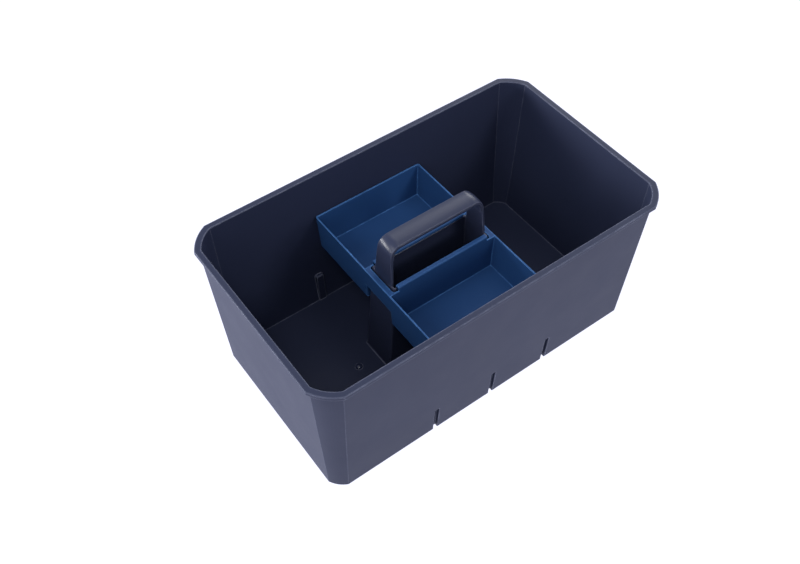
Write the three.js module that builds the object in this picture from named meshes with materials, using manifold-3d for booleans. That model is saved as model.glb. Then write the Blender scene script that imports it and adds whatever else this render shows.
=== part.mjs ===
// Cleaning caddy: a deep tub, a hollow tower that carries the handle, a grip liner under the
// handle, a two-compartment tray that lifts off over the handle, and the screws of the tower.
// Millimetres. +X runs along the tub, +Y across it, +Z up. The origin is the middle of the base.

import * as THREE from 'three';
import { mergeVertices } from 'three/addons/utils/BufferGeometryUtils.js';
import Module from 'manifold-3d';

const wasm = await Module();
wasm.setup();

// ---------------------------------------------------------------- driving dimensions

const GAP = 0.3; // clearance between pieces that sit on each other
const OVERCUT = 1; // how far a cutter runs past the face that it opens

const TUB = {
  height: 217,
  wall: 3,
  floor: 3,
  base: { halfLength: 235, halfWidth: 129.5, cut: 17 },
  shoulder: { halfLength: 244.8, halfWidth: 139.8, cut: 25.5 }, // the wall just under the flange
  flange: { halfLength: 250, halfWidth: 145, cut: 29, thickness: 5.5 },
};
const CORNER_SAGITTA = 0.085; // bulge of a corner panel, as a share of its width

const RIB = { spacing: 88, width: 11, height: 49, depth: 4.6 }; // inside both long walls
const GROOVE = { baseWidth: 6.8, topWidth: 6.2, height: 46, depth: 5 }; // the back of each rib
const STUD = { offset: 113, radius: 4.7 }; // round-topped studs on the tub's floor

const TOWER = {
  wall: 2.8,
  base: { halfLength: 82.5, halfWidth: 26.4, radius: 3.2 },
  top: { z: 154.5, halfLength: 72, halfWidth: 22.8, radius: 2.8 },
  innerRadius: 1,
};

const HANDLE = {
  top: 215.2, // crest of the crowned strap
  crown: 1.8, // the crest above the strap's edges
  thickness: 1.6, // of the strap at its edges
  legThickness: 3.6,
  legFoot: 100, // the legs run down inside the tower's end walls to this height
  bendRadius: 15,
  footHalfSpan: 72.05, // outer face of a leg where it leaves the tower, flush with the end wall
  bendHalfSpan: 69.4, // outer face of a leg at the bend
  footHalfWidth: 17,
  topHalfWidth: 12.5,
};
const LINER = {
  thickness: 3.7,
  endThickness: 1.8,
  end: 194,
  pegRadius: 2,
  pegHeight: 1.5,
  pegOffset: 35,
};

const TRAY = {
  rim: 152.4,
  bottom: 97.8,
  apron: 123, // lower edge of the end walls between the compartments
  wall: 2.2,
  floor: 2.2,
  plate: 2, // thickness of the bridge plates beside the tower
  halfLength: 81.2,
  baseHalfLength: 78.6,
  outerHalfWidth: 133.1,
  baseOuterHalfWidth: 130.4,
  innerHalfWidth: 24.4, // face towards the tower
  baseInnerHalfWidth: 25.3,
  cornerRadius: 3,
  slot: { halfLength: 73.7, radius: 3 },
};
const LIP = { halfLength: 67.5, inner: 20, top: 159.5, radius: 2 };

const SCREW = {
  x: 71.5,
  y: 16.6,
  headRadius: 3.8,
  headHeight: 2.2,
  headBase: 0.5,
  shankRadius: 2,
  tip: 21,
  driveWidth: 1.1,
  driveLength: 4.4,
  driveDepth: 1.3,
};
const PAD = { radius: 6, recessRadius: 4.4, recessDepth: 3, top: 6, holeRadius: 2.4 };
const BOSS = { radius: 5, top: 25, holeTop: 23, web: 2 };

const ARC_STEPS = 6;
const ROUND_STEPS = 24;

// ---------------------------------------------------------------- solids and outlines

/** A closed three.js geometry as a manifold solid. */
function solidOf(geometry) {
  const bare = geometry.clone();
  bare.deleteAttribute('normal');
  bare.deleteAttribute('uv');
  const merged = mergeVertices(bare, 1e-5);
  return new wasm.Manifold(
    new wasm.Mesh({
      numProp: 3,
      vertProperties: new Float32Array(merged.attributes.position.array),
      triVerts: new Uint32Array(merged.index.array),
    }),
  );
}

/** A manifold solid as a named three.js mesh. */
function meshOf(name, solid, material) {
  const result = solid.getMesh();
  const geometry = new THREE.BufferGeometry();
  geometry.setAttribute('position', new THREE.BufferAttribute(result.vertProperties, 3));
  geometry.setIndex(new THREE.BufferAttribute(result.triVerts, 1));
  geometry.computeVertexNormals();
  const mesh = new THREE.Mesh(geometry, material);
  mesh.name = name;
  return mesh;
}

/** Joins a list of solids. */
function join(solids) {
  return solids.reduce((whole, piece) => whole.add(piece));
}

/** A closed solid through outlines of equal point counts, each at its own height. */
function loft(sections) {
  const count = sections[0].outline.length;
  const positions = [];
  const indices = [];
  for (const { z, outline } of sections) {
    for (const point of outline) positions.push(point.x, point.y, z);
  }
  for (let level = 0; level < sections.length - 1; level += 1) {
    for (let i = 0; i < count; i += 1) {
      const a = level * count + i;
      const b = level * count + ((i + 1) % count);
      indices.push(a, b, b + count, a, b + count, a + count);
    }
  }
  const lastRing = (sections.length - 1) * count;
  for (const [a, b, c] of THREE.ShapeUtils.triangulateShape(sections[0].outline, [])) {
    indices.push(c, b, a);
  }
  for (const [a, b, c] of THREE.ShapeUtils.triangulateShape(sections.at(-1).outline, [])) {
    indices.push(lastRing + a, lastRing + b, lastRing + c);
  }
  const geometry = new THREE.BufferGeometry();
  geometry.setAttribute('position', new THREE.Float32BufferAttribute(positions, 3));
  geometry.setIndex(indices);
  return solidOf(geometry);
}

/** The four corners of a box, counter-clockwise from above. */
function boxOutline(x0, x1, y0, y1) {
  return [
    new THREE.Vector2(x0, y0),
    new THREE.Vector2(x1, y0),
    new THREE.Vector2(x1, y1),
    new THREE.Vector2(x0, y1),
  ];
}

function box(x0, x1, y0, y1, z0, z1) {
  const outline = boxOutline(x0, x1, y0, y1);
  return loft([{ z: z0, outline }, { z: z1, outline }]);
}

/** A rectangle with round corners, counter-clockwise. */
function roundedOutline(x0, x1, y0, y1, radius) {
  const corners = [
    [x1 - radius, y0 + radius, -90],
    [x1 - radius, y1 - radius, 0],
    [x0 + radius, y1 - radius, 90],
    [x0 + radius, y0 + radius, 180],
  ];
  const points = [];
  for (const [cx, cy, start] of corners) {
    for (let i = 0; i <= ARC_STEPS; i += 1) {
      const angle = THREE.MathUtils.degToRad(start + (90 * i) / ARC_STEPS);
      points.push(new THREE.Vector2(cx + radius * Math.cos(angle), cy + radius * Math.sin(angle)));
    }
  }
  return points;
}

/** A rectangle whose corners are cut by panels that bulge outward in a shallow arc. */
function cutCornerOutline({ halfLength, halfWidth, cut }) {
  const ends = [
    [halfLength - cut, -halfWidth, halfLength, cut - halfWidth],
    [halfLength, halfWidth - cut, halfLength - cut, halfWidth],
    [cut - halfLength, halfWidth, -halfLength, halfWidth - cut],
    [-halfLength, cut - halfWidth, cut - halfLength, -halfWidth],
  ];
  const points = [];
  for (const [x0, y0, x1, y1] of ends) {
    for (let i = 0; i <= ARC_STEPS; i += 1) {
      const t = i / ARC_STEPS;
      const bulge = 4 * CORNER_SAGITTA * t * (1 - t);
      points.push(
        new THREE.Vector2(x0 + (x1 - x0) * t + (y1 - y0) * bulge, y0 + (y1 - y0) * t - (x1 - x0) * bulge),
      );
    }
  }
  return points;
}

/** A cylinder standing on z0. */
function cylinder(radius, z0, z1, x = 0, y = 0) {
  const geometry = new THREE.CylinderGeometry(radius, radius, z1 - z0, ROUND_STEPS);
  geometry.rotateX(Math.PI / 2);
  geometry.translate(x, y, (z0 + z1) / 2);
  return solidOf(geometry);
}

/** A solid of revolution about the vertical line at x, y. Profile points are [radius, z]. */
function lathe(profile, x, y) {
  const points = profile.map(([radius, z]) => new THREE.Vector2(radius, z));
  const geometry = new THREE.LatheGeometry(points, ROUND_STEPS);
  geometry.rotateX(Math.PI / 2);
  geometry.translate(x, y, 0);
  return solidOf(geometry);
}

/** A shape drawn in the XZ plane, extruded from -halfDepth to +halfDepth along Y. */
function extrudeAcross(shape, halfDepth) {
  const geometry = new THREE.ExtrudeGeometry(shape, {
    depth: 2 * halfDepth,
    bevelEnabled: false,
    curveSegments: ARC_STEPS * 2,
  });
  geometry.rotateX(Math.PI / 2);
  geometry.translate(0, halfDepth, 0);
  return solidOf(geometry);
}

/** A shape drawn in the YZ plane, extruded from -halfDepth to +halfDepth along X. */
function extrudeAlong(shape, halfDepth) {
  const geometry = new THREE.ExtrudeGeometry(shape, {
    depth: 2 * halfDepth,
    bevelEnabled: false,
    curveSegments: ARC_STEPS * 2,
  });
  geometry.rotateX(Math.PI / 2);
  geometry.rotateZ(Math.PI / 2);
  geometry.translate(-halfDepth, 0, 0);
  return solidOf(geometry);
}

/** The value at z on the straight line from a at z0 to b at z1. */
function between(z, z0, a, z1, b) {
  return a + ((b - a) * (z - z0)) / (z1 - z0);
}

/** The four [x, y] places of a rectangle about the middle. */
function fourCorners(x, y) {
  return [[-x, -y], [x, -y], [x, y], [-x, y]];
}

// ---------------------------------------------------------------- tub

const SHOULDER_Z = TUB.height - TUB.flange.thickness;

/** The tub's drafted outline at height z, moved inward by inset. */
function tubSection(z, inset) {
  const size = {};
  for (const key of ['halfLength', 'halfWidth', 'cut']) {
    size[key] = between(z, 0, TUB.base[key], SHOULDER_Z, TUB.shoulder[key]);
  }
  // Two faces meet at 135 degrees, so a parallel inset shortens the cut by this share.
  const cutShare = 2 - Math.SQRT2;
  return {
    z,
    outline: cutCornerOutline({
      halfLength: size.halfLength - inset,
      halfWidth: size.halfWidth - inset,
      cut: size.cut - inset * cutShare,
    }),
  };
}

/** A drafted block that follows a long wall, from inner to outer measured off its outside face. */
function wallBlock({ x, side, z0, z1, baseWidth, topWidth, inner, outer }) {
  const section = (z, width) => {
    const face = between(z, 0, TUB.base.halfWidth, SHOULDER_Z, TUB.shoulder.halfWidth);
    const ys = [side * (face - inner), side * (face + outer)].sort((a, b) => a - b);
    return { z, outline: boxOutline(x - width / 2, x + width / 2, ys[0], ys[1]) };
  };
  return loft([section(z0, baseWidth), section(z1, topWidth)]);
}

function buildTub() {
  const flangeOutline = cutCornerOutline(TUB.flange);
  let tub = loft([tubSection(0, 0), tubSection(TUB.height, 0)]);
  tub = tub.add(loft([{ z: SHOULDER_Z, outline: flangeOutline }, { z: TUB.height, outline: flangeOutline }]));
  tub = tub.subtract(loft([tubSection(TUB.floor, TUB.wall), tubSection(TUB.height + OVERCUT, TUB.wall)]));

  for (const side of [-1, 1]) {
    for (const x of [-RIB.spacing, 0, RIB.spacing]) {
      const rib = wallBlock({
        x,
        side,
        z0: TUB.floor / 2,
        z1: RIB.height,
        baseWidth: RIB.width,
        topWidth: RIB.width,
        inner: TUB.wall + RIB.depth,
        outer: -TUB.wall / 2,
      });
      const groove = wallBlock({
        x,
        side,
        z0: -OVERCUT,
        z1: GROOVE.height,
        baseWidth: GROOVE.baseWidth,
        topWidth: GROOVE.topWidth,
        inner: GROOVE.depth,
        outer: OVERCUT,
      });
      tub = tub.add(rib).subtract(groove);
    }
  }

  for (const x of [-STUD.offset, STUD.offset]) {
    const profile = [[0, TUB.floor / 2], [STUD.radius, TUB.floor / 2]];
    for (let i = 0; i <= ARC_STEPS; i += 1) {
      const angle = (Math.PI / 2) * (i / ARC_STEPS);
      const radius = i === ARC_STEPS ? 0 : STUD.radius * Math.cos(angle);
      profile.push([radius, TUB.floor + STUD.radius * Math.sin(angle)]);
    }
    tub = tub.add(lathe(profile, x, 0));
  }

  for (const [x, y] of fourCorners(SCREW.x, SCREW.y)) {
    tub = tub.add(cylinder(PAD.radius, TUB.floor / 2, PAD.top, x, y));
    tub = tub.subtract(cylinder(PAD.recessRadius, -OVERCUT, PAD.recessDepth, x, y));
    tub = tub.subtract(cylinder(PAD.holeRadius, 0, PAD.top + OVERCUT, x, y));
  }
  return tub;
}

// ---------------------------------------------------------------- tower with its handle

/** The tower's drafted outline at height z, moved inward by inset. */
function towerSection(z, inset) {
  const base = TUB.floor + GAP;
  const size = {};
  for (const key of ['halfLength', 'halfWidth', 'radius']) {
    size[key] = between(z, base, TOWER.base[key], TOWER.top.z, TOWER.top[key]) - inset;
  }
  const radius = Math.max(size.radius, TOWER.innerRadius);
  return {
    z,
    outline: roundedOutline(-size.halfLength, size.halfLength, -size.halfWidth, size.halfWidth, radius),
  };
}

/** An XZ path from foot to foot, inset from the strap's outer face at its legs and at its top. */
function archPath(legInset, topInset, foot) {
  const bendTop = HANDLE.top - HANDLE.bendRadius;
  const footX = between(foot, TOWER.top.z, HANDLE.footHalfSpan, bendTop, HANDLE.bendHalfSpan);
  const steps = ARC_STEPS * 2;
  const points = [new THREE.Vector2(footX - legInset, foot)];
  for (let i = 0; i <= steps; i += 1) {
    const angle = (Math.PI / 2) * (i / steps);
    points.push(
      new THREE.Vector2(
        HANDLE.bendHalfSpan - HANDLE.bendRadius + (HANDLE.bendRadius - legInset) * Math.cos(angle),
        bendTop + (HANDLE.bendRadius - topInset) * Math.sin(angle),
      ),
    );
  }
  const mirrored = points.map((point) => new THREE.Vector2(-point.x, point.y)).reverse();
  return [...points, ...mirrored];
}

/** A closed arch between an outer and an inner path, each given as [legInset, topInset]. */
function archShape(outer, inner, foot) {
  return new THREE.Shape([...archPath(...outer, foot), ...archPath(...inner, foot).reverse()]);
}

/** The wedge that narrows the strap from its feet to its top, trimmed by margin. */
function strapTaper(margin) {
  const section = (z) => {
    const halfWidth =
      between(z, TOWER.top.z, HANDLE.footHalfWidth, HANDLE.top, HANDLE.topHalfWidth) - margin;
    return { z, outline: boxOutline(-TOWER.base.halfLength, TOWER.base.halfLength, -halfWidth, halfWidth) };
  };
  return loft([section(HANDLE.legFoot - OVERCUT), section(HANDLE.top + OVERCUT)]);
}

/** The crowned envelope of the strap: everything below a shallow arc across its width. */
function crownEnvelope() {
  const half = TOWER.top.halfWidth;
  const steps = ARC_STEPS * 2;
  const points = [new THREE.Vector2(-half, 0), new THREE.Vector2(half, 0)];
  for (let i = 0; i <= steps; i += 1) {
    const y = half - (2 * half * i) / steps;
    points.push(new THREE.Vector2(y, HANDLE.top - HANDLE.crown * (y / HANDLE.topHalfWidth) ** 2));
  }
  return extrudeAlong(new THREE.Shape(points), TOWER.base.halfLength);
}

const STRAP_DEPTH = HANDLE.crown + HANDLE.thickness; // from the crest to the strap's underside

function buildTower() {
  const base = TUB.floor + GAP;
  let tower = loft([towerSection(base, 0), towerSection(TOWER.top.z, 0)]);
  tower = tower.subtract(
    loft([towerSection(base - OVERCUT, TOWER.wall), towerSection(TOWER.top.z + OVERCUT, TOWER.wall)]),
  );

  for (const [x, y] of fourCorners(SCREW.x, SCREW.y)) {
    const bossBase = PAD.top + GAP;
    const wallX = Math.sign(x) * (TOWER.base.halfLength - TOWER.wall);
    const wallY = Math.sign(y) * (TOWER.base.halfWidth - TOWER.wall / 2);
    const [x0, x1] = [x, wallX].sort((a, b) => a - b);
    const [y0, y1] = [y, wallY].sort((a, b) => a - b);
    tower = tower.add(cylinder(BOSS.radius, bossBase, BOSS.top, x, y));
    tower = tower.add(box(x0, x1, y - BOSS.web / 2, y + BOSS.web / 2, bossBase, BOSS.top));
    tower = tower.add(box(x - BOSS.web / 2, x + BOSS.web / 2, y0, y1, bossBase, BOSS.top));
    tower = tower.subtract(cylinder(SCREW.shankRadius + GAP, base, BOSS.holeTop, x, y));
  }

  const arch = archShape([0, 0], [HANDLE.legThickness, STRAP_DEPTH], HANDLE.legFoot);
  const strap = extrudeAcross(arch, TOWER.top.halfWidth)
    .intersect(strapTaper(0))
    .intersect(crownEnvelope());
  tower = tower.add(strap);
  for (const x of [-LINER.pegOffset, LINER.pegOffset]) {
    const underside = HANDLE.top - STRAP_DEPTH;
    const holeTop = underside + LINER.pegHeight + GAP;
    tower = tower.subtract(cylinder(LINER.pegRadius + GAP, underside - OVERCUT, holeTop, x));
  }
  return tower;
}

// ---------------------------------------------------------------- grip liner

function buildLiner() {
  const outer = [HANDLE.legThickness + GAP, STRAP_DEPTH + GAP];
  const inner = [outer[0] + LINER.endThickness, outer[1] + LINER.thickness];
  let liner = extrudeAcross(archShape(outer, inner, LINER.end), TOWER.top.halfWidth);
  liner = liner.intersect(strapTaper(GAP));
  const face = HANDLE.top - outer[1];
  for (const x of [-LINER.pegOffset, LINER.pegOffset]) {
    liner = liner.add(cylinder(LINER.pegRadius, face - LINER.thickness / 2, face + LINER.pegHeight, x));
  }
  return liner;
}

// ---------------------------------------------------------------- tray

/** One compartment's drafted outline at height z, moved inward by inset. side is -1 or 1. */
function compartmentSection(side, z, inset) {
  const line = (baseKey, rimKey) => between(z, TRAY.bottom, TRAY[baseKey], TRAY.rim, TRAY[rimKey]);
  const x = line('baseHalfLength', 'halfLength') - inset;
  const inner = line('baseInnerHalfWidth', 'innerHalfWidth') + inset;
  const outer = line('baseOuterHalfWidth', 'outerHalfWidth') - inset;
  const [y0, y1] = [side * inner, side * outer].sort((a, b) => a - b);
  return { z, outline: roundedOutline(-x, x, y0, y1, Math.max(TRAY.cornerRadius - inset, 1)) };
}

/** The end walls between the compartments, as a block with the compartments' draft. */
function middleSection(z, inset) {
  const x = between(z, TRAY.bottom, TRAY.baseHalfLength, TRAY.rim, TRAY.halfLength) - inset;
  const y = between(z, TRAY.bottom, TRAY.baseInnerHalfWidth, TRAY.rim, TRAY.innerHalfWidth);
  const overlap = TRAY.cornerRadius * (inset === 0 ? 1 : 0); // reaches past the round corners
  return { z, outline: boxOutline(-x, x, -y - overlap, y + overlap) };
}

/** The lip that hooks over one long edge of the tower. */
function lip(side) {
  const outer = TRAY.innerHalfWidth + TRAY.wall;
  const seat = TOWER.top.z + GAP;
  const shape = new THREE.Shape();
  shape.moveTo(TRAY.innerHalfWidth, TRAY.rim - TRAY.plate);
  shape.lineTo(outer, TRAY.rim - TRAY.plate);
  shape.lineTo(outer, LIP.top - LIP.radius);
  shape.absarc(outer - LIP.radius, LIP.top - LIP.radius, LIP.radius, 0, Math.PI / 2);
  shape.absarc(LIP.inner + LIP.radius, LIP.top - LIP.radius, LIP.radius, Math.PI / 2, Math.PI);
  shape.lineTo(LIP.inner, seat);
  shape.lineTo(TRAY.innerHalfWidth, seat);
  const solid = extrudeAlong(shape, LIP.halfLength);
  return side > 0 ? solid : solid.mirror([0, 1, 0]);
}

function buildTray() {
  const sides = [-1, 1];
  const shells = sides.map((side) =>
    loft([compartmentSection(side, TRAY.bottom, 0), compartmentSection(side, TRAY.rim, 0)]),
  );
  const middle = loft([middleSection(TRAY.apron, 0), middleSection(TRAY.rim, 0)]);
  let tray = join([...shells, middle]);

  tray = tray.subtract(
    loft([middleSection(TRAY.bottom - OVERCUT, TRAY.wall), middleSection(TRAY.rim - TRAY.plate, TRAY.wall)]),
  );
  const slotSection = (z) => {
    const { halfLength, radius } = TRAY.slot;
    const y = between(z, TRAY.bottom, TRAY.baseInnerHalfWidth, TRAY.rim, TRAY.innerHalfWidth);
    return { z, outline: roundedOutline(-halfLength, halfLength, -y, y, radius) };
  };
  tray = tray.subtract(loft([slotSection(TRAY.bottom - OVERCUT), slotSection(TRAY.rim + OVERCUT)]));

  for (const side of sides) {
    tray = tray.subtract(
      loft([
        compartmentSection(side, TRAY.bottom + TRAY.floor, TRAY.wall),
        compartmentSection(side, TRAY.rim + OVERCUT, TRAY.wall),
      ]),
    );
    tray = tray.add(lip(side));
  }
  return tray;
}

// ---------------------------------------------------------------- screws

/** A pan-head screw driven up through the tub's floor, with a cross recess in its head. */
function buildScrew(x, y) {
  const headTop = SCREW.headBase + SCREW.headHeight;
  const rim = 0.6; // height of the head's rounded edge
  const profile = [
    [0, SCREW.headBase],
    [SCREW.headRadius - 2 * rim, SCREW.headBase],
    [SCREW.headRadius, SCREW.headBase + 2 * rim],
    [SCREW.headRadius, headTop],
    [SCREW.shankRadius, headTop],
    [SCREW.shankRadius, SCREW.tip - 2 * SCREW.shankRadius],
    [0, SCREW.tip],
  ];
  const deep = SCREW.headBase + SCREW.driveDepth;
  const [wide, long] = [SCREW.driveWidth / 2, SCREW.driveLength / 2];
  const cross = box(x - long, x + long, y - wide, y + wide, -OVERCUT, deep).add(
    box(x - wide, x + wide, y - long, y + long, -OVERCUT, deep),
  );
  return lathe(profile, x, y).subtract(cross);
}

// ---------------------------------------------------------------- assembly

const slatePlastic = () => new THREE.MeshStandardMaterial({ color: 0x41465a, roughness: 0.5, metalness: 0 });
const linerPlastic = () => new THREE.MeshStandardMaterial({ color: 0x3b3f50, roughness: 0.6, metalness: 0 });
const bluePlastic = () => new THREE.MeshStandardMaterial({ color: 0x1b4a86, roughness: 0.4, metalness: 0 });
const screwSteel = () => new THREE.MeshStandardMaterial({ color: 0xb4b8bd, roughness: 0.35, metalness: 1 });

const caddy = new THREE.Group();
caddy.add(meshOf('tub', buildTub(), slatePlastic()));
caddy.add(meshOf('handle_tower', buildTower(), slatePlastic()));
caddy.add(meshOf('grip_liner', buildLiner(), linerPlastic()));
caddy.add(meshOf('tray', buildTray(), bluePlastic()));

const screwNames = ['front_left', 'front_right', 'rear_right', 'rear_left'];
fourCorners(SCREW.x, SCREW.y).forEach(([x, y], index) => {
  caddy.add(meshOf(`tower_screw_${screwNames[index]}`, buildScrew(x, y), screwSteel()));
});

export default caddy;
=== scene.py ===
"""The cleaning caddy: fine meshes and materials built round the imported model.

Lengths are in millimetres until a mesh is made, which turns them into metres.
"""

import math

import bpy
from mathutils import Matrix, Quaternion, Vector


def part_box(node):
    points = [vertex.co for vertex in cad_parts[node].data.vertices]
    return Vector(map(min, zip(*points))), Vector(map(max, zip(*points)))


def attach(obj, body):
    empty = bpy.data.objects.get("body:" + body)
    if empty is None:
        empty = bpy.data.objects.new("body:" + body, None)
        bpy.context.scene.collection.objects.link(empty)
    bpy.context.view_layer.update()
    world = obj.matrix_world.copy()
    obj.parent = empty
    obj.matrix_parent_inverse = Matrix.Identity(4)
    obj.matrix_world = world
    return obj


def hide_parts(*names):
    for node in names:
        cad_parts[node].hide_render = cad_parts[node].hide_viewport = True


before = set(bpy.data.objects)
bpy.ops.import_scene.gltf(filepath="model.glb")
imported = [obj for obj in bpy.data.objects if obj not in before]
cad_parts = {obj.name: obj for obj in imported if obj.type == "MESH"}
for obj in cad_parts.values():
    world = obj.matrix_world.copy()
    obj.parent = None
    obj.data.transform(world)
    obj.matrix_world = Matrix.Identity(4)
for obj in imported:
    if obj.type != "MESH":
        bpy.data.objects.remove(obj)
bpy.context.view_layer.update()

MM = 0.001
OVERCUT = 1.0  # how far a cutter runs past the face that it opens
SHARP_ANGLE = math.radians(38)  # steeper edges than this stay sharp in the shading
HOLE_STEPS = 24  # sides of a small round hole or peg


# ---------------------------------------------------------------- sizes from the frame

def node_size(node):
    """The lowest and highest corner of a CAD node, in millimetres."""
    low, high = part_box(node)
    return low / MM, high / MM


tub_low, tub_high = node_size("tub")
tower_low, tower_high = node_size("handle_tower")
tray_low, tray_high = node_size("tray")
liner_foot_z = node_size("grip_liner")[0].z

WALL = 3.0
FLOOR = 3.0
FLANGE_HEIGHT = 5.5
RIM_Z = tub_high.z
SHOULDER_Z = RIM_Z - FLANGE_HEIGHT
BASE = {"half_length": 235.0, "half_width": 129.5, "cut": 17.0}
SHOULDER = {"half_length": 244.8, "half_width": 139.8, "cut": 25.5}
FLANGE = {"half_length": tub_high.x, "half_width": tub_high.y, "cut": 29.0}
CORNER_SAGITTA = 0.085  # bulge of a corner panel, as a share of its width
CUT_SHARE = 2 - math.sqrt(2)  # a parallel inset shortens a corner cut by this share
PANEL_EDGE_RADIUS = 0.5
BOTTOM_RADIUS = 2.0
FLOOR_FILLET = 0.5
FOOT = {"thickness": 7.3, "height": 60.0}  # the walls thicken in a sweep down to the floor
FLANGE_RADIUS = 0.9
SHOULDER_FILLET = 1.0

RIB_SPACING = 88.0
RIB = {"width": 11.0, "top": 49.0, "corner": 2.6, "front_radius": 0.9, "root_radius": 0.5}
RIB_FACE = 8.6  # from the wall's outside face to the rib's inner face
GROOVE = {"width": 6.6, "top": 46.0, "corner": 1.6, "mouth_radius": 0.7, "root_radius": 0.8}
GROOVE_DEPTH = 5.0
STUD = {"x": 113.0, "radius": 4.7, "height": 3.0, "root_radius": 0.4, "tip_radius": 0.15}

SCREW_X = 71.5
SCREW_Y = 16.6
PAD = {"radius": 6.0, "top": 6.0, "edge": 0.6}  # stands on the floor under each boss of the tower
RECESS = {"radius": 4.4, "depth": 3.0, "mouth": 0.6}  # takes a screw's head, from below
SCREW_HOLE = {"radius": 2.4, "top": 8.0}
BOSS = {"radius": 5.0, "foot": 6.3, "top": 25.0, "edge": 0.6}
BOSS_HOLE = {"radius": 2.3, "top": 23.0}
WEB = {"half_thickness": 1.0, "top": 24.2, "into_wall": 2.0, "edge": 0.3}

TOWER_BASE = {"half_length": 82.5, "half_width": 26.4, "radius": 3.2}
TOWER_TOP = {"half_length": 72.0, "half_width": 22.8, "radius": 2.8}
TOWER_INNER_RADIUS = 1.0
TOWER_BASE_Z = tower_low.z
TOWER_TOP_Z = 154.5
TOWER_WALL = 2.8
TOWER_RIM_RADIUS = 1.2
TOWER_FLARE = 1.6
TOWER_SKIRT = 0.4  # the upright edge of the flare at the tower's foot

HANDLE_TOP = tower_high.z
CROWN = 1.8
STRAP_EDGE = 1.6
STRAP_DEPTH = CROWN + STRAP_EDGE
LEG_CROWN = 0.5
CROWN_FADE = 22.0  # the height below the crest over which the crown flattens out
LEG_THICKNESS = 3.6
LEG_FOOT = 100.0
BEND_RADIUS = 15.0
FOOT_HALF_SPAN = 72.05
BEND_HALF_SPAN = 69.4
FOOT_HALF_WIDTH = 17.0
TOP_HALF_WIDTH = 12.5
GAP = 0.3
LINER_THICKNESS = 3.7
LINER_END_THICKNESS = 1.8
PEG = {"radius": 2.0, "height": 1.5, "edge": 0.4, "x": 35.0}

RIM = 152.4
TRAY_BOTTOM = tray_low.z
APRON = 123.0
TRAY_WALL = 2.2
TRAY_FLOOR = 2.2
PLATE = 2.0
TRAY_BASE = {"half_length": 78.6, "outer": 130.4, "inner": 25.3}
TRAY_TOP = {"half_length": tray_high.x, "outer": tray_high.y, "inner": 24.4}
TRAY_CORNER = 3.0
TRAY_BOTTOM_RADIUS = 2.2
TRAY_FLOOR_FILLET = 0.7
TRAY_RIM_RADIUS = 0.75
SLOT = {"half_length": 73.7, "radius": 3.0}
LIP = {"half_length": 67.5, "inner": 20.0, "top": tray_high.z, "radius": 2.0, "seat": 154.8}

SCREW = {
    "head_radius": 3.8,
    "head_height": 2.2,
    "head_edge": 0.2,
    "round_over": 1.2,
    "seat": 0.5,
    "shank_radius": 2.0,
    "thread_depth": 0.4,
    "pitch": 1.3,
    "point": 3.0,
    "tip": 21.0,
}
DRIVE = {"half_length": 2.2, "half_width": 0.55, "mouth_top": 0.5, "bottom": 1.9, "taper": 0.6}


# ---------------------------------------------------------------- outlines

def between(z, z0, a, z1, b):
    """The value at z on the straight line from a at z0 to b at z1."""
    return a + (b - a) * (z - z0) / (z1 - z0)


def quarter(steps):
    """Cosine and sine over a quarter turn."""
    return [
        (math.cos(math.pi / 2 * i / steps), math.sin(math.pi / 2 * i / steps))
        for i in range(steps + 1)
    ]


def rounded_rectangle(x0, x1, y0, y1, radius, steps=5):
    """A rectangle with round corners, counter-clockwise."""
    corners = [
        (x1 - radius, y0 + radius, -90),
        (x1 - radius, y1 - radius, 0),
        (x0 + radius, y1 - radius, 90),
        (x0 + radius, y0 + radius, 180),
    ]
    points = []
    for cx, cy, start in corners:
        for i in range(steps + 1):
            angle = math.radians(start + 90 * i / steps)
            points.append((cx + radius * math.cos(angle), cy + radius * math.sin(angle)))
    return points


def bezier(a, control, b, steps):
    """Points of a quadratic curve from a to b."""
    return [
        a * (1 - t) ** 2 + control * 2 * t * (1 - t) + b * t**2
        for t in (i / steps for i in range(steps + 1))
    ]


def cut_corner_outline(half_length, half_width, cut, edge_radius=PANEL_EDGE_RADIUS):
    """A rectangle with four bulging corner panels whose vertical edges are softly rounded."""
    corners = [
        ((half_length - cut, -half_width), (half_length, cut - half_width)),
        ((half_length, half_width - cut), (half_length - cut, half_width)),
        ((cut - half_length, half_width), (-half_length, half_width - cut)),
        ((-half_length, cut - half_width), (cut - half_length, -half_width)),
    ]
    walls = [Vector((1, 0)), Vector((0, 1)), Vector((-1, 0)), Vector((0, -1))]
    turn = math.pi / 4 - math.atan(4 * CORNER_SAGITTA)
    reach = edge_radius * math.tan(turn / 2)
    panel_steps, edge_steps = 8, 3
    points = []
    for k, ends in enumerate(corners):
        a, b = Vector(ends[0]), Vector(ends[1])
        chord = b - a
        outward = Vector((chord.y, -chord.x))
        share = reach / chord.length

        def panel(t):
            return a + chord * t + outward * (4 * CORNER_SAGITTA * t * (1 - t))

        points += bezier(a - walls[k] * reach, a, panel(share), edge_steps)
        for i in range(1, panel_steps):
            points.append(panel(share + (1 - 2 * share) * i / panel_steps))
        points += bezier(panel(1 - share), b, b + walls[(k + 1) % 4] * reach, edge_steps)
    return points


# ---------------------------------------------------------------- meshes

def mesh_piece(name, points, faces):
    """A new object whose points, given in millimetres, become metres."""
    mesh = bpy.data.meshes.new(name)
    mesh.from_pydata([Vector(p) * MM for p in points], [], faces)
    piece = bpy.data.objects.new(name, mesh)
    bpy.context.scene.collection.objects.link(piece)
    return piece


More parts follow.
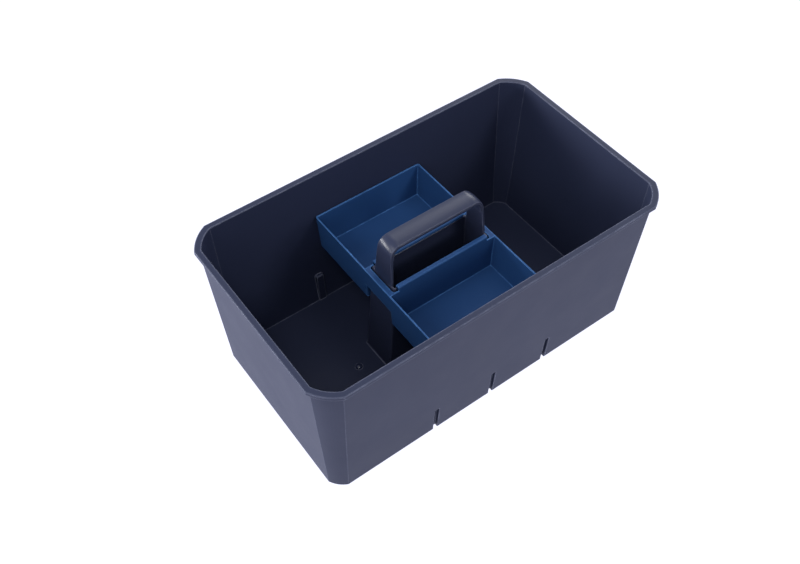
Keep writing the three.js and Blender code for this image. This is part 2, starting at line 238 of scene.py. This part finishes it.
def loft(name, rings, loop=False):
    """A closed mesh through rings of equal point counts: capped at both ends, or a closed loop."""
    count = len(rings[0])
    points = [p for ring in rings for p in ring]
    spans = len(rings) if loop else len(rings) - 1
    faces = []
    for level in range(spans):
        low = level * count
        high = (level + 1) % len(rings) * count
        for i in range(count):
            j = (i + 1) % count
            faces.append((low + i, low + j, high + j, high + i))
    if not loop:
        faces.append(tuple(reversed(range(count))))
        faces.append(tuple(range(len(points) - count, len(points))))
    return mesh_piece(name, points, faces)


def flat_ring(outline, z):
    return [(p[0], p[1], z) for p in outline]


def lathe(name, profile, x=0.0, y=0.0, steps=48):
    """A closed solid of revolution about the vertical line at x, y. Profile points are (radius, z)."""
    rings = []
    for radius, z in profile:
        turns = [2 * math.pi * i / steps for i in range(steps)]
        rings.append([(x + radius * math.cos(a), y + radius * math.sin(a), z) for a in turns])
    return loft(name, rings)


def combine(base, others, operation):
    """Joins others to base (UNION) or cuts them from it (DIFFERENCE), and removes them."""
    for other in others:
        modifier = base.modifiers.new(other.name, "BOOLEAN")
        modifier.operation = operation
        modifier.solver = "MANIFOLD"
        modifier.object = other
    graph = bpy.context.evaluated_depsgraph_get()
    base.data = bpy.data.meshes.new_from_object(base.evaluated_get(graph))
    base.modifiers.clear()
    for other in others:
        bpy.data.objects.remove(other)
    return base


def dress(piece, body, slot, material, *nodes):
    """Gives a piece its shading, its material and its place in the frame."""
    mesh = piece.data
    mesh.materials.clear()
    mesh.materials.append(material)
    mesh.shade_smooth()
    mesh.set_sharp_from_angle(angle=SHARP_ANGLE)
    normals = piece.modifiers.new("face_weighted_normals", "WEIGHTED_NORMAL")
    normals.keep_sharp = True
    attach(piece, body)
    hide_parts(*nodes)


# ---------------------------------------------------------------- tub

def wall_ring(z, inset):
    """The tub's drafted outline at height z, moved inward by inset from its outside face."""
    size = {key: between(z, 0, BASE[key], SHOULDER_Z, SHOULDER[key]) for key in BASE}
    outline = cut_corner_outline(
        size["half_length"] - inset, size["half_width"] - inset, size["cut"] - inset * CUT_SHARE
    )
    return flat_ring(outline, z)


def flange_ring(z, inset):
    outline = cut_corner_outline(
        FLANGE["half_length"] - inset, FLANGE["half_width"] - inset, FLANGE["cut"] - inset * CUT_SHARE
    )
    return flat_ring(outline, z)


def foot_inset(up):
    """The wall's thickness where the sweep is at the share up of its height."""
    return WALL + (FOOT["thickness"] - WALL) * (1 - up) ** 2


def tub_rings():
    """Rings from the middle of the base, up the outside, over the flange and down to the floor."""
    turn = quarter(4)
    rings = [wall_ring(BOTTOM_RADIUS * (1 - c), BOTTOM_RADIUS * (1 - s)) for c, s in turn]
    for c, s in turn:
        rings.append(wall_ring(SHOULDER_Z - SHOULDER_FILLET * (1 - s), -SHOULDER_FILLET * (1 - c)))
    for c, s in turn:
        rings.append(flange_ring(SHOULDER_Z + FLANGE_RADIUS * (1 - c), FLANGE_RADIUS * (1 - s)))
    for c, s in turn:
        rings.append(flange_ring(RIM_Z - FLANGE_RADIUS * (1 - s), FLANGE_RADIUS * (1 - c)))
    for c, s in turn:
        rings.append(wall_ring(RIM_Z - FLANGE_RADIUS * (1 - c), WALL - FLANGE_RADIUS * (1 - s)))
    sweep_steps = 10
    for i in range(sweep_steps):
        up = 1 - i / sweep_steps
        rings.append(wall_ring(FLOOR + FOOT["height"] * up, foot_inset(up)))
    for c, s in quarter(6)[1:]:
        rings.append(wall_ring(FLOOR + FLOOR_FILLET * (1 - s), FOOT["thickness"] + FLOOR_FILLET * (1 - c)))
    return rings


def wall_relief(name, x, side, size, bottom, stations):
    """A raised or sunk block on a long wall.

    stations are (depth from the wall's outside face, how far the outline is inset there).
    """
    least_corner = 0.2
    rings = []
    for depth, inset in stations:
        half = size["width"] / 2 - inset
        corner = max(size["corner"] - inset, least_corner)
        outline = rounded_rectangle(x - half, x + half, bottom, size["top"] - inset, corner)
        ring = []
        for px, pz in outline:
            face = between(pz, 0, BASE["half_width"], SHOULDER_Z, SHOULDER["half_width"])
            ring.append((px, side * (face - depth), pz))
        rings.append(ring if side > 0 else ring[::-1])
    return loft(name, rings)


def rib_stations():
    root, front = RIB["root_radius"], RIB["front_radius"]
    stations = [(WALL / 2, -root)]
    stations += [(WALL + root * (1 - c), -root * (1 - s)) for c, s in quarter(4)]
    stations += [(RIB_FACE - front * (1 - s), front * (1 - c)) for c, s in quarter(5)]
    return stations


def groove_stations():
    mouth, root = GROOVE["mouth_radius"], GROOVE["root_radius"]
    stations = [(-OVERCUT, -mouth)]
    stations += [(mouth * (1 - c), -mouth * (1 - s)) for c, s in quarter(3)]
    stations += [(GROOVE_DEPTH - root * (1 - s), root * (1 - c)) for c, s in quarter(3)]
    return stations


def stud_profile():
    radius, root, height = STUD["radius"], STUD["root_radius"], STUD["height"]
    profile = [(radius + root, FLOOR / 2)]
    for c, s in quarter(4):
        profile.append((radius + root * (1 - s), FLOOR + root * (1 - c)))
    for c, s in quarter(8)[:-1]:
        profile.append((radius * c, FLOOR + root + (height - root) * s))
    profile.append((STUD["tip_radius"], FLOOR + height))
    return profile


def four_corners(x, y):
    return [(-x, -y), (x, -y), (x, y), (-x, y)]


def post_profile(post, foot):
    """A post that stands on foot and has a small chamfer round its top."""
    radius, top, edge = post["radius"], post["top"], post["edge"]
    return [(radius, foot), (radius, top - edge), (radius - edge, top)]


def hole_profile(hole):
    return [(hole["radius"], 0.0), (hole["radius"], hole["top"])]


def recess_profile():
    """The recess for a screw's head, with a chamfered mouth in the base."""
    radius, mouth = RECESS["radius"], RECESS["mouth"]
    return [
        (radius + mouth, -OVERCUT),
        (radius + mouth, 0.0),
        (radius, mouth),
        (radius, RECESS["depth"]),
    ]


def polish_studs(tub, material):
    """Gives the domes of the studs a polished material of their own."""
    tub.data.materials.append(material)
    for face in tub.data.polygons:
        centre = face.center / MM
        from_axis = math.hypot(abs(centre.x) - STUD["x"], centre.y)
        if from_axis < STUD["radius"] and centre.z > FLOOR + STUD["root_radius"]:
            face.material_index = 1


def build_tub(material, stud_material):
    tub = loft("tub_shell", tub_rings())
    raised, sunk = [], []
    for side in (-1, 1):
        for x in (-RIB_SPACING, 0.0, RIB_SPACING):
            raised.append(wall_relief("rib", x, side, RIB, FLOOR / 2, rib_stations()))
            sunk.append(wall_relief("groove", x, side, GROOVE, -4 * OVERCUT, groove_stations()))
    for x in (-STUD["x"], STUD["x"]):
        raised.append(lathe("stud", stud_profile(), x))
    for x, y in four_corners(SCREW_X, SCREW_Y):
        raised.append(lathe("pad", post_profile(PAD, FLOOR / 2), x, y))
        sunk.append(lathe("recess", recess_profile(), x, y))
        sunk.append(lathe("screw_hole", hole_profile(SCREW_HOLE), x, y, HOLE_STEPS))
    combine(tub, raised, "UNION")
    combine(tub, sunk, "DIFFERENCE")
    dress(tub, "caddy", "slate_plastic", material, "tub")
    polish_studs(tub, stud_material)


# ---------------------------------------------------------------- tower and handle

def tower_ring(z, inset):
    """The tower's drafted outline at height z, moved inward by inset."""
    size = {
        key: between(z, TOWER_BASE_Z, TOWER_BASE[key], TOWER_TOP_Z, TOWER_TOP[key]) for key in TOWER_BASE
    }
    x, y = size["half_length"] - inset, size["half_width"] - inset
    radius = max(size["radius"] - inset, TOWER_INNER_RADIUS)
    return flat_ring(rounded_rectangle(-x, x, -y, y, radius, 7), z)


def tower_rings():
    """A closed loop of rings: up the outside, over the rim and down the inside."""
    r, flare, flare_z = TOWER_RIM_RADIUS, TOWER_FLARE, TOWER_BASE_Z + TOWER_SKIRT
    rings = [tower_ring(TOWER_BASE_Z, -flare)]
    rings += [tower_ring(flare_z + flare * (1 - c), -flare * (1 - s)) for c, s in quarter(4)]
    rings += [tower_ring(TOWER_TOP_Z - r * (1 - s), r * (1 - c)) for c, s in quarter(4)]
    rings += [tower_ring(TOWER_TOP_Z - r * (1 - c), TOWER_WALL - r * (1 - s)) for c, s in quarter(4)]
    rings.append(tower_ring(TOWER_BASE_Z, TOWER_WALL))
    return rings


def arch_points(leg_inset, top_inset, foot, bend_steps=14):
    """An XZ path from the right foot to the left one, inset from the strap's outer face."""
    bend_z = HANDLE_TOP - BEND_RADIUS
    near_bend_z = bend_z - 6  # keeps the leg straight up to just below the bend

    def leg_x(z):
        return between(z, TOWER_TOP_Z, FOOT_HALF_SPAN, bend_z, BEND_HALF_SPAN) - leg_inset

    right = [Vector((leg_x(z), z)) for z in (foot, near_bend_z)]
    for c, s in quarter(bend_steps):
        x = BEND_HALF_SPAN - BEND_RADIUS + (BEND_RADIUS - leg_inset) * c
        right.append(Vector((x, bend_z + (BEND_RADIUS - top_inset) * s)))
    right.append(Vector((right[-1].x / 2, right[-1].y)))
    return right + [Vector((-p.x, p.y)) for p in reversed(right)]


def strap_half_width(z):
    return between(z, TOWER_TOP_Z, FOOT_HALF_WIDTH, HANDLE_TOP, TOP_HALF_WIDTH)


def band_section(half_width, depth, crown, outer_radius, inner_radius):
    """A crowned band's section as (across, depth below the outer path), counter-clockwise."""
    right = []
    edge = half_width - outer_radius
    for i in range(5):
        across = edge * i / 4
        right.append((across, crown * (across / half_width) ** 2))
    fall = crown * (edge / half_width) ** 2
    for c, s in quarter(5)[1:]:
        right.append((edge + outer_radius * s, fall + outer_radius * (1 - c)))
    for c, s in quarter(4):
        right.append((half_width - inner_radius * (1 - c), depth - inner_radius * (1 - s)))
    left = [(-across, down) for across, down in reversed(right[1:])]
    return right + left


def band(name, outer, inner, margin, crown_at, outer_radius, inner_radius):
    """A band swept along two XZ paths of equal point counts."""
    rings = []
    for o, i in zip(outer, inner):
        down = i - o
        depth = down.length
        down = down / depth
        section = band_section(
            strap_half_width(o.y) - margin, depth, crown_at(o.y), outer_radius, inner_radius
        )
        rings.append([(o.x + down.x * d, across, o.y + down.y * d) for across, d in section])
    return loft(name, rings)


def smooth_step(t):
    t = min(max(t, 0.0), 1.0)
    return t * t * (3 - 2 * t)


def strap_crown(z):
    """The strap is fully crowned on top and nearly flat on its legs."""
    share = smooth_step(1 - (HANDLE_TOP - z) / CROWN_FADE)
    return LEG_CROWN + (CROWN - LEG_CROWN) * share


def webs(x, y):
    """The two webs that tie the boss at x, y to the tower's end wall and side wall."""
    half, into_wall = WEB["half_thickness"], WEB["into_wall"]
    wall_x = math.copysign(TOWER_BASE["half_length"] - into_wall, x)
    wall_y = math.copysign(TOWER_BASE["half_width"] - into_wall, y)
    spans = (
        (*sorted((x, wall_x)), y - half, y + half),
        (x - half, x + half, *sorted((y, wall_y))),
    )
    pieces = []
    for span in spans:
        outline = rounded_rectangle(*span, WEB["edge"], 2)
        pieces.append(loft("web", [flat_ring(outline, BOSS["foot"]), flat_ring(outline, WEB["top"])]))
    return pieces


def build_tower(material):
    tower = loft("tower_shell", tower_rings(), loop=True)
    outer = arch_points(0.0, 0.0, LEG_FOOT)
    inner = arch_points(LEG_THICKNESS, STRAP_DEPTH, LEG_FOOT)
    strap = band("strap", outer, inner, 0.0, strap_crown, 0.8, 0.3)
    raised = [strap]
    for x, y in four_corners(SCREW_X, SCREW_Y):
        raised.append(lathe("boss", post_profile(BOSS, BOSS["foot"]), x, y))
        raised += webs(x, y)
    combine(tower, raised, "UNION")
    sunk = []
    for x, y in four_corners(SCREW_X, SCREW_Y):
        sunk.append(lathe("boss_hole", hole_profile(BOSS_HOLE), x, y, HOLE_STEPS))
    underside = HANDLE_TOP - STRAP_DEPTH
    peg_hole = [
        (PEG["radius"] + GAP, underside - OVERCUT),
        (PEG["radius"] + GAP, underside + PEG["height"] + GAP),
    ]
    for x in (-PEG["x"], PEG["x"]):
        sunk.append(lathe("peg_hole", peg_hole, x, 0.0, HOLE_STEPS))
    combine(tower, sunk, "DIFFERENCE")
    dress(tower, "caddy", "slate_plastic", material, "handle_tower")


def build_liner(material):
    outer_inset = (LEG_THICKNESS + GAP, STRAP_DEPTH + GAP)
    inner_inset = (outer_inset[0] + LINER_END_THICKNESS, outer_inset[1] + LINER_THICKNESS)
    outer = arch_points(*outer_inset, liner_foot_z)
    inner = arch_points(*inner_inset, liner_foot_z)
    liner = band("grip_liner_pad", outer, inner, GAP, lambda z: 0.0, 0.8, 1.1)
    face = HANDLE_TOP - outer_inset[1]
    peg = {"radius": PEG["radius"], "top": face + PEG["height"], "edge": PEG["edge"]}
    profile = post_profile(peg, face - LINER_THICKNESS / 2)
    pegs = [lathe("peg", profile, x, 0.0, HOLE_STEPS) for x in (-PEG["x"], PEG["x"])]
    combine(liner, pegs, "UNION")
    dress(liner, "caddy", "liner_plastic", material, "grip_liner")


# ---------------------------------------------------------------- tray

def tray_line(z, key):
    return between(z, TRAY_BOTTOM, TRAY_BASE[key], RIM, TRAY_TOP[key])


def tray_ring(z, inset):
    """The tray's drafted outer outline at height z."""
    x, y = tray_line(z, "half_length") - inset, tray_line(z, "outer") - inset
    return flat_ring(rounded_rectangle(-x, x, -y, y, max(TRAY_CORNER - inset, 0.6), 6), z)


def pocket_ring(side, z, inset):
    """A compartment's inside outline at height z; inset runs from the wall's inside face."""
    x = tray_line(z, "half_length") - TRAY_WALL - inset
    near = tray_line(z, "inner") + TRAY_WALL + inset
    far = tray_line(z, "outer") - TRAY_WALL - inset
    y0, y1 = sorted((side * near, side * far))
    return flat_ring(rounded_rectangle(-x, x, y0, y1, max(1.0 - inset, 0.3), 6), z)


def pocket(side):
    floor_z, r, rim = TRAY_BOTTOM + TRAY_FLOOR, TRAY_FLOOR_FILLET, TRAY_RIM_RADIUS
    rings = [pocket_ring(side, floor_z + r * (1 - c), r * (1 - s)) for c, s in quarter(5)]
    rings += [pocket_ring(side, RIM - rim * (1 - s), -rim * (1 - c)) for c, s in quarter(4)]
    top = pocket_ring(side, RIM, -rim)
    rings.append([(x, y, RIM + OVERCUT) for x, y, _ in top])
    return loft("pocket", rings)


def tower_void():
    """The space between the compartments, open below, that the tower stands in."""
    def ring(z):
        x, y = tray_line(z, "half_length") - TRAY_WALL, tray_line(z, "inner")
        return flat_ring(rounded_rectangle(-x, x, -y, y, 0.6, 3), z)

    return loft("tower_void", [ring(TRAY_BOTTOM - OVERCUT), ring(RIM - PLATE)])


def tower_slot():
    """The opening in the bridge plates that the tower's top stands in."""
    def ring(z, inset):
        x, y = SLOT["half_length"] - inset, TRAY_TOP["inner"] - inset
        return flat_ring(rounded_rectangle(-x, x, -y, y, SLOT["radius"] - inset, 6), z)

    edge = 0.5
    rings = [ring(RIM - PLATE - OVERCUT, 0.0)]
    rings += [ring(RIM - edge * (1 - s), -edge * (1 - c)) for c, s in quarter(3)]
    rings.append(ring(RIM + OVERCUT, -edge))
    return loft("tower_slot", rings)


def doorway(side):
    """The opening under one apron, with round corners left on the compartments beside it."""
    edge = 0.6
    rings = []
    for depth in (-OVERCUT, 0.0, 0.1, 0.3, 0.6, 1.4, 1.7, 1.9, TRAY_WALL, TRAY_CORNER):
        past_corner = max(TRAY_CORNER - max(depth, 0.0), 0.0)
        flare = TRAY_CORNER - math.sqrt(TRAY_CORNER**2 - past_corner**2)
        past_edge = max(edge - max(depth, 0.0), depth - (TRAY_WALL - edge), 0.0)
        lift = edge - math.sqrt(edge**2 - min(past_edge, edge) ** 2)
        half = TRAY_BASE["inner"] + flare
        outline = rounded_rectangle(-half, half, TRAY_BOTTOM - OVERCUT, APRON + lift, 2.0, 5)
        ring = []
        for py, pz in outline:
            draft = TRAY_BASE["inner"] - tray_line(pz, "inner")
            x = side * (tray_line(pz, "half_length") - depth)
            ring.append((x, py - math.copysign(draft, py), pz))
        rings.append(ring[::-1] if side > 0 else ring)
    return loft("doorway", rings)


def inset_outline(points, inset):
    """A counter-clockwise outline moved inward by inset."""
    moved = []
    for i, point in enumerate(points):
        before, here, after = Vector(points[i - 1]), Vector(point), Vector(points[(i + 1) % len(points)])
        a, b = (here - before).normalized(), (after - here).normalized()
        normal_a, normal_b = Vector((-a.y, a.x)), Vector((-b.y, b.x))
        moved.append(here + (normal_a + normal_b) * (inset / (1 + normal_a.dot(normal_b))))
    return moved


def lip_outline():
    """The section of a lip as (distance from the middle, height), counter-clockwise."""
    inner, outer = LIP["inner"], TRAY_TOP["inner"] + TRAY_WALL
    radius, seat, top = LIP["radius"], LIP["seat"], LIP["top"]
    small = 0.8
    web = TRAY_TOP["inner"]
    points = [(outer, RIM - PLATE)]
    points += [(outer - radius * (1 - c), top - radius * (1 - s)) for c, s in quarter(6)]
    points += [(inner + radius * (1 - s), top - radius * (1 - c)) for c, s in quarter(6)]
    points += [(inner + small * (1 - c), seat + small * (1 - s)) for c, s in quarter(4)]
    points += [(web - small * (1 - s), seat - small * (1 - c)) for c, s in quarter(4)]
    points.append((web, RIM - PLATE))
    return points


def lip(side):
    """A lip that hooks over one long edge of the tower, with rounded ends."""
    end, outline = 1.2, lip_outline()
    stations = [(LIP["half_length"] - end * (1 - s), end * (1 - c)) for c, s in quarter(4)]
    stations = [(-x, inset) for x, inset in reversed(stations)] + stations
    rings = []
    for x, inset in stations:
        ring = [(x, side * p.x, p.y) for p in inset_outline(outline, inset)]
        rings.append(ring if side > 0 else ring[::-1])
    return loft("lip", rings)


def build_tray(material):
    r, rim = TRAY_BOTTOM_RADIUS, TRAY_RIM_RADIUS
    rings = [tray_ring(TRAY_BOTTOM + r * (1 - c), r * (1 - s)) for c, s in quarter(5)]
    rings += [tray_ring(RIM - rim * (1 - s), rim * (1 - c)) for c, s in quarter(4)]
    tray = loft("tray_shell", rings)
    cutters = [pocket(-1), pocket(1), tower_void(), tower_slot(), doorway(-1), doorway(1)]
    combine(tray, cutters, "DIFFERENCE")
    combine(tray, [lip(-1), lip(1)], "UNION")
    dress(tray, "tray", "blue_plastic", material, "tray")


# ---------------------------------------------------------------- screws

def screw_profile():
    """A pan head below a threaded shank."""
    head, edge, round_over = SCREW["head_radius"], SCREW["head_edge"], SCREW["round_over"]
    base = SCREW["seat"]
    profile = [
        (head - round_over * (1 - s), base + round_over * (1 - c)) for c, s in quarter(5)
    ]
    z = base + SCREW["head_height"]
    profile += [(head, z - edge), (head - edge, z)]
    crest, tip = SCREW["shank_radius"], SCREW["tip"]
    core = crest - SCREW["thread_depth"]
    point_z = tip - SCREW["point"]
    profile.append((core, z))
    while z + SCREW["pitch"] < point_z:
        profile += [(core, z + 0.3), (crest, z + 0.6), (crest, z + 0.7), (core, z + 1.0)]
        z += SCREW["pitch"]
    profile += [(core, point_z), (0.2, tip)]
    return profile


def cross_recess(x, y):
    """The two tapered slots of a cross drive."""
    length, width = DRIVE["half_length"], DRIVE["half_width"]

    def outline(half_x, half_y, corner):
        return rounded_rectangle(x - half_x, x + half_x, y - half_y, y + half_y, corner, 3)

    slots = []
    for half_x, half_y in ((length, width), (width, length)):
        mouth = outline(half_x, half_y, 0.25)
        deep = outline(half_x * DRIVE["taper"], half_y * DRIVE["taper"], 0.12)
        rings = [
            flat_ring(mouth, -OVERCUT),
            flat_ring(mouth, DRIVE["mouth_top"]),
            flat_ring(deep, DRIVE["bottom"]),
        ]
        slots.append(loft("slot", rings))
    return slots


def build_screws(material):
    names = ("front_left", "front_right", "rear_right", "rear_left")
    for name, (x, y) in zip(names, four_corners(SCREW_X, SCREW_Y)):
        screw = lathe(f"fine_screw_{name}", screw_profile(), x, y)
        combine(screw, cross_recess(x, y), "DIFFERENCE")
        dress(screw, "caddy", "screw_steel", material, f"tower_screw_{name}")


# ---------------------------------------------------------------- materials

# How far from an edge the painted edge highlight reaches.
HIGHLIGHT_EDGE_RADIUS = 0.002  # metres
GLOSS_SPREAD = 0.03


def node(tree, kind, **inputs):
    """A new shader node with the given socket values."""
    made = tree.nodes.new(kind)
    for key, value in inputs.items():
        made.inputs[key.replace("_", " ")].default_value = value
    return made


def noise(tree, coordinates, scale, detail=3.0, roughness=0.5):
    made = node(tree, "ShaderNodeTexNoise", Scale=scale, Detail=detail, Roughness=roughness)
    tree.links.new(coordinates, made.inputs["Vector"])
    return made.outputs["Fac"]


def remap(tree, value, low, high, to_low, to_high):
    made = tree.nodes.new("ShaderNodeMapRange")
    tree.links.new(value, made.inputs["Value"])
    for key, number in (("From Min", low), ("From Max", high), ("To Min", to_low), ("To Max", to_high)):
        made.inputs[key].default_value = number
    return made.outputs["Result"]


def mixed(tree, factor, a, b):
    """A colour between a and b. Either may be a colour or a socket."""
    made = tree.nodes.new("ShaderNodeMix")
    made.data_type = "RGBA"
    tree.links.new(factor, made.inputs["Factor"])
    for key, value in (("A", a), ("B", b)):
        socket = next(s for s in made.inputs if s.name == key and s.type == "RGBA")
        if isinstance(value, bpy.types.NodeSocket):
            tree.links.new(value, socket)
        else:
            socket.default_value = (*value, 1.0)
    return next(s for s in made.outputs if s.type == "RGBA")


# The mask of the painted highlight: a lighter colour laid on edges and fillets in place of the lamps'
# glints there.
def painted_highlight_mask(tree, radius):
    """0 on flat faces, rising on rounded and sharp edges."""
    bevel = tree.nodes.new("ShaderNodeBevel")
    bevel.samples = 6
    bevel.inputs["Radius"].default_value = radius
    geometry = tree.nodes.new("ShaderNodeNewGeometry")
    dot = tree.nodes.new("ShaderNodeVectorMath")
    dot.operation = "DOT_PRODUCT"
    tree.links.new(bevel.outputs["Normal"], dot.inputs[0])
    tree.links.new(geometry.outputs["True Normal"], dot.inputs[1])
    return remap(tree, dot.outputs["Value"], 1.0, 0.9, 0.0, 1.0)


def new_material(name):
    """A new material, with its node tree and its shader."""
    material = bpy.data.materials.new(name)
    material.use_nodes = True
    tree = material.node_tree
    return material, tree, tree.nodes["Principled BSDF"]


def roughen(tree, shader, height, distance):
    """A fine bump on the shader, distance metres high."""
    bump = tree.nodes.new("ShaderNodeBump")
    bump.inputs["Strength"].default_value = 1.0
    bump.inputs["Distance"].default_value = distance
    tree.links.new(height, bump.inputs["Height"])
    tree.links.new(bump.outputs["Normal"], shader.inputs["Normal"])


def moulded_plastic(name, colour, roughness, specular, grain, highlight_colour, highlight_share):
    """Injection-moulded plastic: spark-eroded grain, cloudy colour, uneven gloss and a painted highlight
    along edges and fillets, patchy at random.
    """
    material, tree, shader = new_material(name)
    shader.inputs["IOR"].default_value = 1.5
    shader.inputs["Specular IOR Level"].default_value = specular
    coordinates = tree.nodes.new("ShaderNodeTexCoord").outputs["Object"]

    clouds = noise(tree, coordinates, 9.0, 4.0)
    darker = tuple(c * 0.96 for c in colour)
    lighter = tuple(c * 1.04 for c in colour)
    base = mixed(tree, remap(tree, clouds, 0.3, 0.7, 0.0, 1.0), darker, lighter)
    speckle = noise(tree, coordinates, 1400.0, 2.0, 0.6)
    base = mixed(tree, remap(tree, speckle, 0.35, 0.75, 0.0, 0.25), base, tuple(c * 0.82 for c in colour))
    # Painted highlight: the edge mask, made stronger or weaker in random patches, mixes a lighter colour
    # into the base along edges and fillets.
    highlight_factor = tree.nodes.new("ShaderNodeMath")
    highlight_factor.operation = "MULTIPLY"
    tree.links.new(painted_highlight_mask(tree, HIGHLIGHT_EDGE_RADIUS), highlight_factor.inputs[0])
    highlight_patches = noise(tree, coordinates, 60.0, 3.0)
    tree.links.new(remap(tree, highlight_patches, 0.35, 0.65, highlight_share * 0.5, highlight_share), highlight_factor.inputs[1])
    base = mixed(tree, highlight_factor.outputs["Value"], base, highlight_colour)
    tree.links.new(base, shader.inputs["Base Color"])

    gloss = noise(tree, coordinates, 22.0, 5.0, 0.6)
    least, most = roughness - GLOSS_SPREAD, roughness + GLOSS_SPREAD
    tree.links.new(remap(tree, gloss, 0.25, 0.75, least, most), shader.inputs["Roughness"])
    roughen(tree, shader, noise(tree, coordinates, 1100.0, 3.0, 0.55), grain)
    return material


def zinc_steel(name):
    """Zinc-plated screw steel: a mottled grey, uneven gloss and a fine bump."""
    material, tree, shader = new_material(name)
    shader.inputs["Metallic"].default_value = 1.0
    coordinates = tree.nodes.new("ShaderNodeTexCoord").outputs["Object"]
    mottle = noise(tree, coordinates, 500.0, 4.0)
    base = mixed(tree, remap(tree, mottle, 0.3, 0.7, 0.0, 1.0), (0.42, 0.44, 0.47), (0.62, 0.63, 0.65))
    tree.links.new(base, shader.inputs["Base Color"])
    tree.links.new(remap(tree, mottle, 0.3, 0.7, 0.28, 0.45), shader.inputs["Roughness"])
    roughen(tree, shader, noise(tree, coordinates, 3000.0, 2.0), 0.00002)
    return material


# ---------------------------------------------------------------- studio

FLOOR_GLOW = 1.0
SKY_SIDE = 0.55
SKY_TOP = 0.52


def build_floor():
    """A plain pale floor, just under the base."""
    half, clearance = 6.0, 0.0002
    mesh = bpy.data.meshes.new("studio_floor")
    corners = [(-half, -half, 0), (half, -half, 0), (half, half, 0), (-half, half, 0)]
    mesh.from_pydata(corners, [], [(0, 1, 2, 3)])
    floor = bpy.data.objects.new("studio_floor", mesh)
    bpy.context.scene.collection.objects.link(floor)
    floor.location.z = tub_low.z * MM - clearance
    material, _, shader = new_material("pale_floor")
    shader.inputs["Base Color"].default_value = (0.05, 0.05, 0.05, 1)
    shader.inputs["Roughness"].default_value = 0.9
    shader.inputs["Specular IOR Level"].default_value = 0.1
    shader.inputs["Emission Color"].default_value = (1.0, 1.01, 1.2, 1)
    shader.inputs["Emission Strength"].default_value = FLOOR_GLOW
    mesh.materials.append(material)


def softbox(name, position, target, width, height, power):
    """A rectangular area light that faces its target."""
    light = bpy.data.lights.new(name, "AREA")
    light.shape = "RECTANGLE"
    light.size, light.size_y = width, height
    light.energy = power
    lamp = bpy.data.objects.new(name, light)
    bpy.context.scene.collection.objects.link(lamp)
    lamp.location = position
    lamp.rotation_mode = "QUATERNION"
    lamp.rotation_quaternion = (Vector(target) - Vector(position)).to_track_quat("-Z", "Y")


def build_sky():
    """A plain pale surround, a little dimmer overhead than round the sides."""
    world = bpy.data.worlds.new("studio")
    world.use_nodes = True
    tree = world.node_tree
    direction = tree.nodes.new("ShaderNodeTexCoord").outputs["Generated"]
    split = tree.nodes.new("ShaderNodeSeparateXYZ")
    tree.links.new(direction, split.inputs[0])
    strength = remap(tree, split.outputs["Z"], 0.25, 0.85, SKY_SIDE, SKY_TOP)
    background = tree.nodes["Background"]
    background.inputs["Color"].default_value = (0.93, 0.97, 1.12, 1)
    tree.links.new(strength, background.inputs["Strength"])
    bpy.context.scene.world = world


def build_studio():
    build_floor()
    build_sky()
    middle = (0.0, 0.0, 0.15)
    softbox("overhead_softbox", (0.3, 0.05, 2.3), middle, 0.8, 0.8, 2.5)
    softbox("rear_softbox", (0.85, 1.17, 1.8), middle, 1.2, 1.2, 7.0)
    softbox("left_strip", (-1.75, 1.4, 0.5), middle, 1.6, 0.6, 56.0)
    softbox("left_softbox", (-1.75, 0.0, 1.65), middle, 1.0, 1.0, 14.0)
    softbox("right_softbox", (1.6, 1.15, 1.2), middle, 0.9, 0.9, 12.0)
    softbox("front_left_softbox", (-0.8, -0.95, 2.0), middle, 0.4, 0.4, 7.0)
    softbox("front_right_softbox", (0.8, -1.7, 1.25), middle, 0.5, 0.5, 12.0)
    bpy.context.scene.view_settings.view_transform = "Standard"


def build_camera():
    """A camera at the front left, looking down into the tub."""
    azimuth, elevation, roll = math.radians(-35.99), math.radians(51.13), math.radians(-0.4)
    distance, aim = 1.2849, Vector((-0.0032, 0.0595, 0.0373))
    flat = math.cos(elevation)
    back = Vector((math.sin(azimuth) * flat, -math.cos(azimuth) * flat, math.sin(elevation)))
    data = bpy.data.cameras.new("camera")
    data.sensor_width = 36.0
    data.lens = 43.08
    camera = bpy.data.objects.new("camera", data)
    bpy.context.scene.collection.objects.link(camera)
    camera.location = aim + back * distance
    camera.rotation_mode = "QUATERNION"
    camera.rotation_quaternion = (-back).to_track_quat("-Z", "Y") @ Quaternion((0, 0, 1), roll)
    bpy.context.scene.camera = camera


# ---------------------------------------------------------------- assembly

SLATE = (0.0225, 0.0285, 0.06)
BLUE = (0.02, 0.065, 0.183)

# The lighter edge colour and share of each plastic give a painted highlight along its edges and fillets.
slate = moulded_plastic(
    "slate_plastic",
    SLATE,
    roughness=0.52,
    specular=0.22,
    grain=0.00002,
    highlight_colour=(0.27, 0.29, 0.38),
    highlight_share=0.9,
)
polished_slate = moulded_plastic(
    "polished_slate",
    (0.0245, 0.0305, 0.061),
    roughness=0.3,
    specular=0.3,
    grain=0.000012,
    highlight_colour=(0.14, 0.15, 0.21),
    highlight_share=0.8,
)
stud_plastic = moulded_plastic(
    "stud_plastic",
    SLATE,
    roughness=0.12,
    specular=0.5,
    grain=0.000002,
    highlight_colour=SLATE,
    highlight_share=0.1,
)
liner_plastic = moulded_plastic(
    "liner_plastic",
    SLATE,
    roughness=0.4,
    specular=0.25,
    grain=0.00002,
    highlight_colour=(0.12, 0.13, 0.19),
    highlight_share=0.8,
)
blue = moulded_plastic(
    "blue_plastic",
    BLUE,
    roughness=0.5,
    specular=0.11,
    grain=0.000015,
    highlight_colour=(0.13, 0.34, 0.75),
    highlight_share=0.9,
)
steel = zinc_steel("screw_steel")

build_camera()
build_tub(slate, stud_plastic)
build_tower(polished_slate)
build_liner(liner_plastic)
build_tray(blue)
build_screws(steel)
build_studio()
